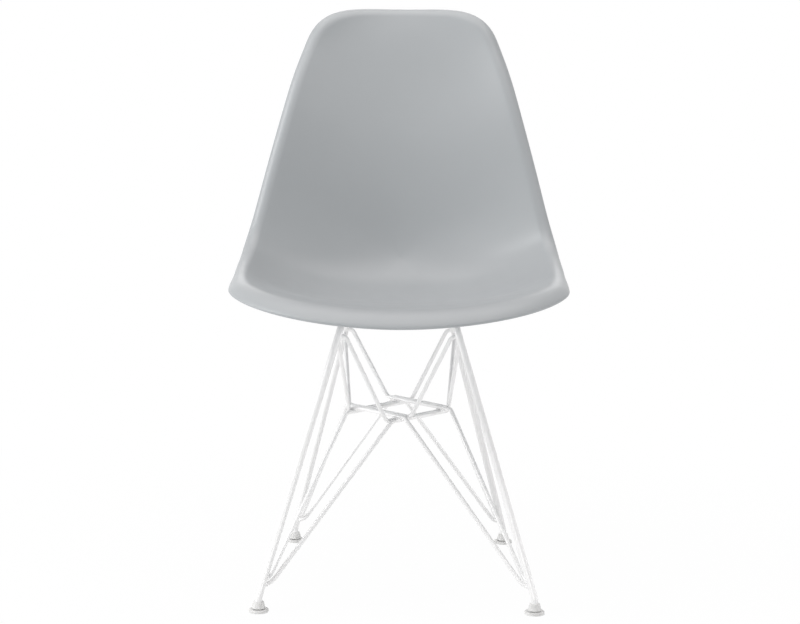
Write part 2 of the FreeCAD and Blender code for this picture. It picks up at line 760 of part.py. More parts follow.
def ball_stud(side, end):
    """A ball on a shank that is pressed into the end of a leg rod."""
    name = f"stud_{corner_name(side, end)}"
    ball = doc.addObject("Part::Sphere", f"{name}_ball")
    ball.setExpression("Radius", "Sizes.ball_size / 2")
    ball.Placement = to_origin.multiply(Placement(foot_point(side, end, size("ball_level")), Rotation()))
    shank = doc.addObject("Part::Cylinder", f"{name}_shank")
    shank.setExpression("Radius", "Sizes.stud_size / 2")
    shank.setExpression("Height", "Sizes.rod_end_level + Sizes.stud_grip - Sizes.ball_level")
    shank.Placement = ball.Placement
    stud = doc.addObject("Part::Fuse", name)
    stud.Base = ball
    stud.Tool = shank
    return stud


def glide_collar(side, end):
    """A tapered collar pressed on the end of a leg rod, hollow below round the pad's socket."""
    name = f"glide_collar_{corner_name(side, end)}"
    body = new_body(name, Placement())
    top = "collar_level + collar_height"
    turned = revolve(body, f"{name}_profile", [
        ("collar_foot / 2", "collar_level"),
        ("collar_neck / 2", top),
        ("rod_size / 2", top),
        ("rod_size / 2", "rod_end_level"),
        ("collar_foot / 2 - collar_wall", "rod_end_level"),
        ("collar_foot / 2 - collar_wall", "collar_level"),
    ])
    level = size("collar_level") + size("collar_height")
    dress_edge(body, "Fillet", turned, circle_edges(turned, size("collar_neck") / 2, level), "collar_edge")
    body.Placement = at_foot(side, end)
    return body


def glide_pad(side, end):
    """A round pad on the floor with a socket that snaps over the ball."""
    name = f"glide_pad_{corner_name(side, end)}"
    body = new_body(f"{name}_blank", Placement())
    turned = revolve(body, f"{name}_profile", [
        ("0", "0"),
        ("pad_size / 2", "0"),
        ("pad_size / 2", "pad_height"),
        ("hub_size / 2", "pad_height"),
        ("hub_size / 2", "hub_level"),
        ("0", "hub_level"),
    ])
    rim = circle_edges(turned, size("pad_size") / 2, size("pad_height"))
    dress_edge(body, "Fillet", turned, rim, "pad_edge")
    body.Placement = at_foot(side, end)
    hollow = doc.addObject("Part::Sphere", f"{name}_hollow")
    hollow.setExpression("Radius", "Sizes.ball_size / 2 + Sizes.ball_play")
    hollow.Placement = to_origin.multiply(Placement(foot_point(side, end, size("ball_level")), Rotation()))
    pad = doc.addObject("Part::Cut", name)
    pad.Label = name
    pad.Base = body
    pad.Tool = hollow
    return pad


def cross_rod(end, rods):
    """A rod across the seat frame, from rail to rail, trimmed to sit between them."""
    name = f"{END_NAMES[end]}_cross_rod"
    bar = doc.addObject("Part::Cylinder", f"{name}_bar")
    bar.setExpression("Radius", "Sizes.rod_size / 2")
    frame_run = (
        "sqrt((Sizes.top_front_depth + Sizes.top_rear_depth) ^ 2"
        " + (Sizes.top_front_level - Sizes.top_rear_level) ^ 2)"
    )
    bar.setExpression(
        "Height",
        "Sizes.top_front_half_width + Sizes.top_rear_half_width"
        f" + {2 * end} * Sizes.cross_rod_offset"
        f" * (Sizes.top_rear_half_width - Sizes.top_front_half_width) / {frame_run}",
    )
    doc.recompute()
    start = Vector(-bar.Height.Value / 2, end * size("cross_rod_offset"), 0)
    bar.Placement = placed_frame.multiply(Placement(start, Rotation(Vector(0, 1, 0), 90)))
    trimmed = bar
    for rod in rods:
        cut = doc.addObject("Part::Cut", f"{name}_at_{rod.Name}")
        cut.Base = trimmed
        cut.Tool = rod
        trimmed = cut
    trimmed.Label = name
    return trimmed


def group(name, maker):
    """Identical sub-parts at the four corners, as one group of separate solids."""
    compound = doc.addObject("Part::Compound", name)
    compound.Label = name
    compound.Links = [maker(side, end) for side, end in CORNERS]
    return compound


base_parts = wire_base()
leg_rods = base_parts[:2]
nodes = [seat_shell()] + base_parts
nodes += [cross_rod(end, leg_rods) for end in (-1, 1)]
nodes.append(group("mounting_plates", mounting_plate))
nodes.append(group("rubber_mounts", rubber_mount))
nodes.append(group("mount_washers", washer))
nodes.append(group("mount_screws", mount_screw))
nodes.append(group("threaded_inserts", threaded_insert))
nodes.append(group("ball_studs", ball_stud))
for side, end in CORNERS:
    nodes.append(glide_collar(side, end))
    nodes.append(glide_pad(side, end))
doc.recompute()

for item in doc.Objects:
    if "Invalid" in item.State or "Error" in item.State:
        raise RuntimeError(f"{item.Name} failed: {item.State}")
for node in nodes:
    if node.Shape.isNull() or not node.Shape.isValid():
        raise RuntimeError(f"{node.Label} has no valid shape")

os.makedirs("parts", exist_ok=True)
for node in nodes:
    node.Shape.exportStep(f"parts/{node.Label}.step")
    print(node.Label, len(node.Shape.Solids), round(node.Shape.Volume / 1000, 2), "cm3")
print("depth middle", round(MIDDLE_Y, 3))
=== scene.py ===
import math

import bmesh
import bpy
import numpy as np
from mathutils import Matrix, Vector
from mathutils.bvhtree import BVHTree


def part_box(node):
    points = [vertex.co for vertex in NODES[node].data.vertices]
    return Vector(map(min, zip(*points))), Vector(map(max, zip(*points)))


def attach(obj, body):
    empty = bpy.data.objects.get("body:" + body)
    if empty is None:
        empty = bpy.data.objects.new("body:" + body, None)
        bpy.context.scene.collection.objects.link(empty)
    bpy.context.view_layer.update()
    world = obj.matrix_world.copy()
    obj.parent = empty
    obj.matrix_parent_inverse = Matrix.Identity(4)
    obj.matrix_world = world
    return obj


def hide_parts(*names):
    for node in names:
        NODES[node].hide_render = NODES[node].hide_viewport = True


# Moulded plastic shell chair on a welded wire base.
# The scene is in metres. The chair's named sizes are millimetres.

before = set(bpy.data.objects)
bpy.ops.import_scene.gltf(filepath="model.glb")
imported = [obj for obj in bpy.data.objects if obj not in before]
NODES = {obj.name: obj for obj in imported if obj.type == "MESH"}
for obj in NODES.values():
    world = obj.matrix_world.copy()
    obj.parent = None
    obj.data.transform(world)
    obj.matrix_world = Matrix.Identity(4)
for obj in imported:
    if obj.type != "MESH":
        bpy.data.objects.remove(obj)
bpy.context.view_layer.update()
MM = 0.001


# Where the base stands in the frame
FOOT_HALF_DEPTH = 185.5
FOOT_HALF_WIDTH = {-1: 192.0, 1: 164.0}
pad_low, pad_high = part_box("glide_pad_front_left")
BASE_MIDDLE_Y = (pad_low.y + pad_high.y) / 2 / MM + FOOT_HALF_DEPTH


def to_frame(points):
    """Points of the base's own coordinates, in millimetres, as an array in the frame's metres."""
    placed = np.array(points, dtype=float)
    placed[..., 1] += BASE_MIDDLE_Y
    return placed * MM


def new_object(name, data):
    """An object in the scene that holds a mesh, a lamp or a camera."""
    piece = bpy.data.objects.new(name, data)
    bpy.context.scene.collection.objects.link(piece)
    return piece


def closed_mesh(name, vertices, faces):
    """A smooth mesh with all its faces outwards."""
    mesh = bpy.data.meshes.new(name)
    mesh.from_pydata([tuple(vertex) for vertex in vertices], [], faces)
    shape = bmesh.new()
    shape.from_mesh(mesh)
    bmesh.ops.recalc_face_normals(shape, faces=shape.faces)
    shape.to_mesh(mesh)
    shape.free()
    mesh.shade_smooth()
    return mesh


# Seat shell
# Each station: middle y and z, edge y and z, half width, and how late it rises to its edge
SHELL_STATIONS = np.array([
    (-211, 430, -203, 447.5, 188.5, 1.95),
    (-150, 428.5, -136, 449, 200.5, 2.2),
    (-80, 420, -77, 450.5, 214, 2.55),
    (-8, 402, -10, 454, 219, 2.75),
    (57, 406.5, 48.5, 464.5, 215.5, 2.55),
    (116.5, 414, 93.5, 483.5, 212, 2.15),
    (157, 456, 111.5, 514, 203, 1.55),
    (175, 500, 128.5, 553.5, 193, 1.6),
    (181, 585, 147.5, 610, 179, 1.9),
    (195, 650, 163.5, 669, 163, 1.8),
    (219, 724, 190, 731, 146, 2.2),
    (235, 782.5, 217.5, 780, 127.5, 2.5),
    (252, 820, 230, 821.5, 110, 2.4),
])
SHELL_WALL = 5.0
# Length over which the outline closes at its end, and how square its corners are
FRONT_CORNER = (103.0, 2.2)
TOP_CORNER = (56.0, 3.7)
# Radius and turn, in degrees, of the rolled rim
SIDE_ROLL = (17.0, 70.0)
FRONT_ROLL = (46.0, 54.0)
# Where the side's roll starts to change into the front's, and where it has changed
LIP_START = -10.0
LIP_FULL = -205.0
# Rings of the sitting surface from its middle to its rim at 0, and how far they draw in between
RINGS = np.array([0.998] + [0.96 - 0.04 * i for i in range(24)] + [0.0])
RING_INSET = 70.0
RIM_COLUMNS = 288
RIM_STEPS = 1200
PROFILE_STEPS = 800
NORMAL_STEP = 0.5
ROLL_STEPS = 10
EDGE_STEPS = 7
LAST_STATION = len(SHELL_STATIONS) - 1


def station(place):
    """The cross-section at places between the stations, on a uniform cubic B-spline."""
    first = np.minimum(np.asarray(place).astype(int), LAST_STATION - 1)
    part = (place - first)[..., None]
    ends = SHELL_STATIONS[[0, -1]]
    beyond = 2 * ends - SHELL_STATIONS[[1, -2]]
    rows = np.vstack([beyond[:1], SHELL_STATIONS, beyond[1:]])
    weights = (
        (1 - part) ** 3 / 6,
        (3 * part ** 3 - 6 * part ** 2 + 4) / 6,
        (-3 * part ** 3 + 3 * part ** 2 + 3 * part + 1) / 6,
        part ** 3 / 6,
    )
    return sum(weight * rows[first + i] for i, weight in enumerate(weights))


def sitting_point(place, across):
    """A point of the sitting surface, by its place between the stations and its distance across."""
    cross = station(place)
    rise = (np.abs(across) / cross[..., 4]) ** cross[..., 5]
    y = cross[..., 0] + rise * (cross[..., 2] - cross[..., 0])
    z = cross[..., 1] + rise * (cross[..., 3] - cross[..., 1])
    return np.stack([across + 0 * rise, y, z], -1)


def running_lengths(points):
    """How far each point is along its line."""
    steps = np.linalg.norm(np.diff(points, axis=0), axis=1)
    return np.concatenate([[0.0], np.cumsum(steps)])


PLACES = np.linspace(0, LAST_STATION, PROFILE_STEPS + 1)
PROFILE_LENGTHS = running_lengths(sitting_point(PLACES, np.zeros_like(PLACES)))
SHELL_LENGTH = PROFILE_LENGTHS[-1]


def surface_point(along, across):
    """A point of the sitting surface, by its length along the middle from the lip."""
    return sitting_point(np.interp(along, PROFILE_LENGTHS, PLACES), across)


def unit(vectors):
    """The same directions, with a length of one."""
    return vectors / np.linalg.norm(vectors, axis=-1, keepdims=True)


def surface_normal(along, across):
    """The direction square to the sitting surface, away from its underside."""
    along = np.clip(along, NORMAL_STEP, SHELL_LENGTH - NORMAL_STEP)
    ahead = surface_point(along + NORMAL_STEP, across)
    behind = surface_point(along - NORMAL_STEP, across)
    right = surface_point(along, across + NORMAL_STEP)
    left = surface_point(along, across - NORMAL_STEP)
    return unit(np.cross(right - left, ahead - behind))


def corner_factor(distance, corner):
    """The share of the full width that is left near an end of the outline."""
    length, power = corner
    near = np.minimum(distance / length, 1.0)
    return (1 - (1 - near) ** power) ** (1 / power)


def shell_outline():
    """Evenly spaced points round the shell, as lengths along the middle and distances across."""
    alongs = SHELL_LENGTH * (1 - np.cos(np.linspace(0, math.pi, RIM_STEPS + 1))) / 2
    acrosses = station(np.interp(alongs, PROFILE_LENGTHS, PLACES))[:, 4]
    acrosses = acrosses * corner_factor(alongs, FRONT_CORNER)
    acrosses = acrosses * corner_factor(SHELL_LENGTH - alongs, TOP_CORNER)
    acrosses[[0, -1]] = 0
    lengths = running_lengths(surface_point(alongs, acrosses))
    marks = lengths[-1] * np.arange(RIM_COLUMNS // 2 + 1) / (RIM_COLUMNS // 2)
    along = np.interp(marks, lengths, alongs)
    across = np.interp(marks, lengths, acrosses)
    return np.concatenate([along, along[-2:0:-1]]), np.concatenate([across, -across[-2:0:-1]])


def outline_directions(along, across):
    """Directions square to the outline and away from its middle."""
    run_along = np.roll(along, -1) - np.roll(along, 1)
    run_across = np.roll(across, -1) - np.roll(across, 1)
    run = np.hypot(run_along, run_across)
    out_along, out_across = -run_across / run, run_along / run
    inwards = out_along * (along - SHELL_LENGTH / 2) + out_across * across < 0
    return np.where(inwards, -out_along, out_along), np.where(inwards, -out_across, out_across)


def sitting_rings(along, across):
    """Rings of points, with their normals, from the middle of the sitting surface to its rim."""
    out_along, out_across = outline_directions(along, across)
    middle = SHELL_LENGTH / 2
    ring = RINGS[:, None]
    spread = 1 - ring ** 2
    inset = RING_INSET * ring * (1 - ring)
    alongs = middle + spread * (along - middle) - inset * out_along
    acrosses = spread * across - inset * out_across
    return surface_point(alongs, acrosses), surface_normal(alongs, acrosses)


def rim_directions(along, across, upper, normal):
    """Directions in the sitting surface, square to its rim and away from the shell."""
    rim_run = surface_point(np.roll(along, -1), np.roll(across, -1))
    rim_run = rim_run - surface_point(np.roll(along, 1), np.roll(across, 1))
    outwards = unit(np.cross(rim_run, normal))
    inwards = (outwards * (upper[-1] - upper[-2])).sum(-1) < 0
    return np.where(inwards[:, None], -outwards, outwards)


def shell_rows():
    """Rings of points from the middle of the sitting surface over the rim to the underside's middle."""
    along, across = shell_outline()
    upper, normals = sitting_rings(along, across)
    lower = upper - normals * SHELL_WALL
    rim, normal = upper[-1], normals[-1]
    outwards = rim_directions(along, across, upper, normal)
    lip = np.clip((rim[:, 1] - LIP_START) / (LIP_FULL - LIP_START), 0, 1)
    lip = lip * lip * (3 - 2 * lip)
    radius = (SIDE_ROLL[0] + lip * (FRONT_ROLL[0] - SIDE_ROLL[0]))[:, None]
    full_turn = np.radians(SIDE_ROLL[1] + lip * (FRONT_ROLL[1] - SIDE_ROLL[1]))[:, None]
    roll_upper = []
    roll_lower = []
    for i in range(1, ROLL_STEPS + 1):
        turn = full_turn * i / ROLL_STEPS
        face = normal * np.cos(turn) + outwards * np.sin(turn)
        roll_upper.append(rim + (face - normal) * radius)
        roll_lower.append(roll_upper[-1] - face * SHELL_WALL)
    onwards = outwards * np.cos(turn) - normal * np.sin(turn)
    centre = (roll_upper[-1] + roll_lower[-1]) / 2
    edge = []
    for i in range(1, EDGE_STEPS + 1):
        swing = math.pi * i / (EDGE_STEPS + 1)
        edge.append(centre + (face * math.cos(swing) + onwards * math.sin(swing)) * SHELL_WALL / 2)
    return np.array(list(upper) + roll_upper + edge + roll_lower[::-1] + list(lower[::-1]))


def seat_shell():
    """The one-piece moulded shell with its rolled rim."""
    rows = to_frame(shell_rows())
    top = rows[0].mean(axis=0)
    bottom = rows[-1].mean(axis=0)
    vertices = np.vstack([rows.reshape(-1, 3), [top, bottom]])
    top_number = len(rows) * RIM_COLUMNS
    last_row = top_number - RIM_COLUMNS
    neighbours = [(i, (i + 1) % RIM_COLUMNS) for i in range(RIM_COLUMNS)]
    faces = []
    for row in range(0, last_row, RIM_COLUMNS):
        following = row + RIM_COLUMNS
        for i, j in neighbours:
            faces.append((row + i, following + i, following + j, row + j))
    for i, j in neighbours:
        faces.append((top_number, i, j))
        faces.append((top_number + 1, last_row + j, last_row + i))
    return new_object("shell_moulding", closed_mesh("shell_moulding", vertices, faces))


# Bosses under the seat
# Middle and slope of the plane of the rails, and the places of the seat screws in it
FRAME_MIDDLE = (0.0, -2.25, 383.0)
FRAME_TILT = math.radians(4.587)
FRAME_UP = Vector((0, math.sin(FRAME_TILT), math.cos(FRAME_TILT)))
MOUNT_X = 58.0
MOUNT_Y = 66.0
# Height of a boss's face above the middle of the rails
BOSS_LEVEL = 14.0
BOSS_SIDES = 64
# Radius and height above the boss's face
BOSS_FACE_ROWS = ((4.5, 10.0), (4.5, 0.5), (5.0, 0.0), (10.3, 0.0), (10.8, 0.2), (11.0, 0.7))
# Radius and height above the underside of the shell
BOSS_ROOT_ROWS = ((12.3, -4.6), (12.9, -2.9), (14.1, -1.5), (16.0, -0.5), (18.6, 0.5))
BOSS_CROWN = 1.5
BOSS_CREASE = math.radians(35)
RIB_COUNT = 4
# Distances of a rib's ends from the middle of its boss
RIB_INNER = 11.0
RIB_OUTER = 26.0
# How far a rib starts above the boss's face, and how far its root goes into the shell
RIB_START = 3.6
RIB_SINK = 0.5
RIB_STEPS = 8
# Half width of a rib at its root, where its free edge starts to round off, and on that edge
RIB_HALF_WIDTHS = (1.3, 0.9, 0.5)
RIB_ROUNDING = 0.4


def seat_frame_point(x, y, level):
    """A point in the tilted plane of the rails under the seat, or above it."""
    return np.array([
        FRAME_MIDDLE[0] + x,
        FRAME_MIDDLE[1] + y * math.cos(FRAME_TILT) + level * math.sin(FRAME_TILT),
        FRAME_MIDDLE[2] - y * math.sin(FRAME_TILT) + level * math.cos(FRAME_TILT),
    ])


def underside_level(skin, x, y):
    """How high the underside of the shell is above a place in the plane of the rails."""
    start = Vector(to_frame([seat_frame_point(x, y, BOSS_LEVEL)])[0])
    return BOSS_LEVEL + skin.ray_cast(start, FRAME_UP)[3] / MM


def add_vertices(vertices, places):
    """The numbers of new vertices at places given over the plane of the rails."""
    first = len(vertices)
    vertices.extend(to_frame([seat_frame_point(*place) for place in places]))
    return list(range(first, len(vertices)))


def add_bands(faces, rings):
    """Faces between each closed ring of vertices and the next."""
    for ring, following in zip(rings, rings[1:]):
        for i in range(len(ring)):
            j = (i + 1) % len(ring)
            faces.append((ring[i], ring[j], following[j], following[i]))


def add_boss(vertices, faces, skin, middle):
    """A round boss, from the end of its bore over its face to its root in the shell."""
    rings = []
    for radius, rise in BOSS_FACE_ROWS + BOSS_ROOT_ROWS:
        on_root = (radius, rise) in BOSS_ROOT_ROWS
        places = []
        for i in range(BOSS_SIDES):
            angle = 2 * math.pi * i / BOSS_SIDES
            x = middle[0] + radius * math.cos(angle)
            y = middle[1] + radius * math.sin(angle)
            level = underside_level(skin, x, y) if on_root else BOSS_LEVEL
            places.append((x, y, level + rise))
        rings.append(add_vertices(vertices, places))
    add_bands(faces, rings)
    bore_end, crown = add_vertices(vertices, [
        (*middle, BOSS_LEVEL + BOSS_FACE_ROWS[0][1]),
        (*middle, underside_level(skin, *middle) + BOSS_CROWN),
    ])
    for i in range(BOSS_SIDES):
        j = (i + 1) % BOSS_SIDES
        faces.append((bore_end, rings[0][j], rings[0][i]))
        faces.append((crown, rings[-1][i], rings[-1][j]))


def add_rib(vertices, faces, skin, middle, turn):
    """A straight rib that runs out from a boss into the underside of the shell."""
    along = np.array([math.cos(turn), math.sin(turn)])
    aside = np.array([-along[1], along[0]])
    sections = []
    for i in range(RIB_STEPS + 1):
        share = i / RIB_STEPS
        spot = middle + along * (RIB_INNER + (RIB_OUTER - RIB_INNER) * share)
        root = underside_level(skin, *spot) + RIB_SINK
        edge = root - (root - BOSS_LEVEL - RIB_START) * (1 - share)
        levels = [min(level, root) for level in (root, edge + RIB_ROUNDING, edge)]
        flank = list(zip(RIB_HALF_WIDTHS, levels))
        places = [(*(spot + aside * half), level) for half, level in flank]
        places += [(*(spot - aside * half), level) for half, level in reversed(flank)]
        sections.append(add_vertices(vertices, places))
    add_bands(faces, sections)
    faces.append(tuple(sections[0]))
    faces.append(tuple(reversed(sections[-1])))


def shell_bosses(shell_piece):
    """Four bored bosses with ribs, grown from the underside of the shell."""
    skin = BVHTree.FromPolygons(
        [vertex.co for vertex in shell_piece.data.vertices],
        [polygon.vertices for polygon in shell_piece.data.polygons],
    )
    vertices = []
    faces = []
    for side in (-1, 1):
        for end in (-1, 1):
            middle = np.array([side * MOUNT_X, end * MOUNT_Y])
            add_boss(vertices, faces, skin, middle)
            for i in range(RIB_COUNT):
                add_rib(vertices, faces, skin, middle, math.pi / 4 + 2 * math.pi / RIB_COUNT * i)
    mesh = closed_mesh("shell_bosses", vertices, faces)
    mesh.set_sharp_from_angle(angle=BOSS_CREASE)
    return new_object("shell_bosses", mesh)


# Bracing wires
WIRE_RADIUS = 3.0
# Air that the weld fills where one wire lies on another
WELD_GAP = 0.05
DIAMOND_HALF = 63.5
DIAMOND_LEVEL = 248.3
DIAMOND_SPACING = 7.0
# How far past an end or side corner of the diamond a wire bends, where it comes down from the
# top of a leg and where it leaves for a foot
END_RISE_OVERRUN = 15.0
SIDE_RISE_OVERRUN = 6.5
END_FALL_OVERRUN = 11.5
SIDE_FALL_OVERRUN = 15.0
FOOT_LEVEL = 20.0
# Half width, distance from the base's middle and height of a leg rod's corner under the seat
TOP_CORNERS = {-1: (80.5, 89.5, 390.0), 1: (76.0, 85.0, 376.0)}
UPPER_HOOK_LEVELS = {-1: 373.5, 1: 354.0}
UPPER_HOOK_REACH = 11.0
FOOT_HOOK_LEVEL = 36.0
FOOT_HOOK_REACH = 12.5
# Height between the two hooks on one leg
HOOK_STEP = 7.4
# Bend radius at each corner of a wire
WIRE_BENDS = (0.0, 9.0, 10.0, 10.0, 26.0, 0.0)
BEND_STEPS = 12
WIRE_STEP = 1.6
WIRE_SIDES = 20
# How much thicker a wire is in its weld, and how far the weld reaches
WELD_FLARE = 1.75
WELD_LENGTH = 10.5
BEAD_RADIUS = 3.3
BEAD_FLATNESS = 0.62
BEAD_UNEVENNESS = 0.9
BEAD_LUMPS_PER_METRE = 260.0
BEAD_DIVISIONS = 3
SIDE_NAMES = {-1: "left", 1: "right"}
END_NAMES = {-1: "front", 1: "rear"}


def leg_point(side, end, level):
    """The middle of a leg rod at a height."""
    low = np.array([side * FOOT_HALF_WIDTH[end], end * FOOT_HALF_DEPTH, FOOT_LEVEL])
    across, away, height = TOP_CORNERS[end]
    high = np.array([side * across, end * away, height])
    return low + (high - low) * ((level - low[2]) / (high[2] - low[2]))


def diamond_point(corner, along, overrun, inwards, level):
    """A bend of a wire, past a corner of the diamond along one of its sides."""
    outwards = unit(corner - along)
    sideways = np.array([-outwards[1], outwards[0]])
    if sideways @ (corner + along) > 0:
        sideways = -sideways
    shift = DIAMOND_SPACING / 2 * (1 if inwards else -1)
    return np.append(corner + outwards * overrun * math.sqrt(2) + sideways * shift, level)


def hook_corner(point, towards, reach):
    """The corner of a level hook that starts in the middle of a rod."""
    step = unit((towards - point)[:2]) * reach
    return point + np.append(step, 0)


def wire_points(side, end, from_end):
    """The corners of a wire from the top of one leg along the diamond to the opposite foot."""
    end_corner = np.array([0.0, end * DIAMOND_HALF])
    side_corner = np.array([side * DIAMOND_HALF, 0.0])
    level = DIAMOND_LEVEL
    if side * end < 0:
        level += 2 * WIRE_RADIUS + WELD_GAP
    if from_end:
        rise = diamond_point(end_corner, -side_corner, END_RISE_OVERRUN, True, level)
        fall = diamond_point(-side_corner, end_corner, SIDE_FALL_OVERRUN, True, level)
        top_level = UPPER_HOOK_LEVELS[end]
        foot_level = FOOT_HOOK_LEVEL + HOOK_STEP
    else:
        rise = diamond_point(side_corner, -end_corner, SIDE_RISE_OVERRUN, False, level)
        fall = diamond_point(-end_corner, side_corner, END_FALL_OVERRUN, False, level)
        top_level = UPPER_HOOK_LEVELS[end] - HOOK_STEP
        foot_level = FOOT_HOOK_LEVEL
    top = leg_point(side, end, top_level)
    foot = leg_point(-side, -end, foot_level)
    top_hook = hook_corner(top, rise, UPPER_HOOK_REACH)
    foot_hook = hook_corner(foot, fall, FOOT_HOOK_REACH)
    return [top, top_hook, rise, fall, foot_hook, foot]


def crossing_places(wires):
    """The points where a wire of the upper layer rests on one of the lower layer."""
    runs = [(rise, fall - rise) for top, top_hook, rise, fall, foot_hook, foot in wires]
    places = []
    for start, run in runs:
        for other, other_run in runs:
            if start[2] - other[2] < WIRE_RADIUS:
                continue
            shares = np.linalg.solve(np.array([run[:2], -other_run[:2]]).T, (other - start)[:2])
            if shares.min() > 0 and shares.max() < 1:
                level = DIAMOND_LEVEL + WIRE_RADIUS + WELD_GAP / 2
                places.append(np.append((start + run * shares[0])[:2], level))
    return places


def new_tree(name, inputs):
    """A geometry tree with a geometry input, named inputs, and one geometry output."""
    tree = bpy.data.node_groups.new(name, "GeometryNodeTree")
    tree.interface.new_socket("Geometry", in_out="INPUT", socket_type="NodeSocketGeometry")
    for label, kind in inputs:
        tree.interface.new_socket(label, in_out="INPUT", socket_type=f"NodeSocket{kind}")
    tree.interface.new_socket("Geometry", in_out="OUTPUT", socket_type="NodeSocketGeometry")
    return tree, tree.nodes.new("NodeGroupInput").outputs, tree.nodes.new("NodeGroupOutput")


def close_tree(tree, shape, material, group_output):
    """The end of every tree: real, smooth geometry with its material."""
    realize = tree.nodes.new("GeometryNodeRealizeInstances")
    smooth = tree.nodes.new("GeometryNodeSetShadeSmooth")
    finish = tree.nodes.new("GeometryNodeSetMaterial")
    tree.links.new(shape, realize.inputs["Geometry"])
    tree.links.new(realize.outputs["Geometry"], smooth.inputs["Geometry"])
    tree.links.new(smooth.outputs["Geometry"], finish.inputs["Geometry"])
    tree.links.new(material, finish.inputs["Material"])
    tree.links.new(finish.outputs["Geometry"], group_output.inputs["Geometry"])


def math_node(tree, operation, first, second):
    """The result of a math node whose two inputs are numbers or sockets."""
    node = tree.nodes.new("ShaderNodeMath")
    node.operation = operation
    for socket, value in zip(node.inputs, (first, second)):
        if isinstance(value, (int, float)):
            socket.default_value = value
        else:
            tree.links.new(value, socket)
    return node.outputs[0]


def bent_wire_tree():
    """A round wire along a bent path, flared into its welds at both ends."""
    tree, given, result = new_tree("bent_wire", (
        ("Wire Radius", "Float"),
        ("Weld Flare", "Float"),
        ("Weld Length", "Float"),
        ("Step", "Float"),
        ("Sides", "Int"),
        ("Material", "Material"),
    ))
    curve = tree.nodes.new("GeometryNodeMeshToCurve")
    bend = tree.nodes.new("GeometryNodeInputNamedAttribute")
    bend.data_type = "FLOAT"
    bend.inputs["Name"].default_value = "bend"
    fillet = tree.nodes.new("GeometryNodeFilletCurve")
    fillet.mode = "POLY"
    fillet.inputs["Count"].default_value = BEND_STEPS
    resample = tree.nodes.new("GeometryNodeResampleCurve")
    resample.mode = "LENGTH"
    place = tree.nodes.new("GeometryNodeSplineParameter")
    whole = tree.nodes.new("GeometryNodeSplineLength")
    flare = tree.nodes.new("ShaderNodeMapRange")
    flare.interpolation_type = "SMOOTHSTEP"
    thickness = tree.nodes.new("GeometryNodeSetCurveRadius")
    ring = tree.nodes.new("GeometryNodeCurvePrimitiveCircle")
    sweep = tree.nodes.new("GeometryNodeCurveToMesh")
    sweep.inputs["Fill Caps"].default_value = True
    tree.links.new(given["Geometry"], curve.inputs["Mesh"])
    tree.links.new(curve.outputs["Curve"], fillet.inputs["Curve"])
    tree.links.new(bend.outputs["Attribute"], fillet.inputs["Radius"])
    tree.links.new(fillet.outputs["Curve"], resample.inputs["Curve"])
    tree.links.new(given["Step"], resample.inputs["Length"])
    left_over = math_node(tree, "SUBTRACT", whole.outputs["Length"], place.outputs["Length"])
    to_end = math_node(tree, "MINIMUM", place.outputs["Length"], left_over)
    tree.links.new(to_end, flare.inputs["Value"])
    tree.links.new(given["Weld Length"], flare.inputs["From Max"])
    tree.links.new(given["Weld Flare"], flare.inputs["To Min"])
    flare.inputs["To Max"].default_value = 1.0
    tree.links.new(resample.outputs["Curve"], thickness.inputs["Curve"])
    tree.links.new(flare.outputs["Result"], thickness.inputs["Radius"])
    tree.links.new(given["Sides"], ring.inputs["Resolution"])
    tree.links.new(given["Wire Radius"], ring.inputs["Radius"])
    tree.links.new(thickness.outputs["Curve"], sweep.inputs["Curve"])
    tree.links.new(ring.outputs["Curve"], sweep.inputs["Profile Curve"])
    close_tree(tree, sweep.outputs["Mesh"], given["Material"], result)
    return tree


def weld_bead_tree():
    """A small uneven bead of weld at every point."""
    tree, given, result = new_tree("weld_beads", (
        ("Bead Radius", "Float"),
        ("Flatness", "Float"),
        ("Unevenness", "Float"),
        ("Lumps", "Float"),
        ("Material", "Material"),
    ))
    bead = tree.nodes.new("GeometryNodeMeshIcoSphere")
    bead.inputs["Subdivisions"].default_value = BEAD_DIVISIONS
    spread = tree.nodes.new("GeometryNodeInstanceOnPoints")
    scale = tree.nodes.new("ShaderNodeCombineXYZ")
    scale.inputs["X"].default_value = 1.0
    scale.inputs["Y"].default_value = 1.0
    realize = tree.nodes.new("GeometryNodeRealizeInstances")
    noise = tree.nodes.new("ShaderNodeTexNoise")
    normal = tree.nodes.new("GeometryNodeInputNormal")
    push = tree.nodes.new("ShaderNodeVectorMath")
    push.operation = "SCALE"
    move = tree.nodes.new("GeometryNodeSetPosition")
    tree.links.new(given["Bead Radius"], bead.inputs["Radius"])
    tree.links.new(given["Flatness"], scale.inputs["Z"])
    tree.links.new(given["Geometry"], spread.inputs["Points"])
    tree.links.new(bead.outputs["Mesh"], spread.inputs["Instance"])
    tree.links.new(scale.outputs["Vector"], spread.inputs["Scale"])
    tree.links.new(spread.outputs["Instances"], realize.inputs["Geometry"])
    tree.links.new(given["Lumps"], noise.inputs["Scale"])
    uneven = math_node(tree, "MULTIPLY", noise.outputs["Fac"], given["Unevenness"])
    tree.links.new(normal.outputs["Normal"], push.inputs["Vector"])
    tree.links.new(uneven, push.inputs["Scale"])
    tree.links.new(realize.outputs["Geometry"], move.inputs["Geometry"])
    tree.links.new(push.outputs["Vector"], move.inputs["Offset"])
    close_tree(tree, move.outputs["Geometry"], given["Material"], result)
    return tree


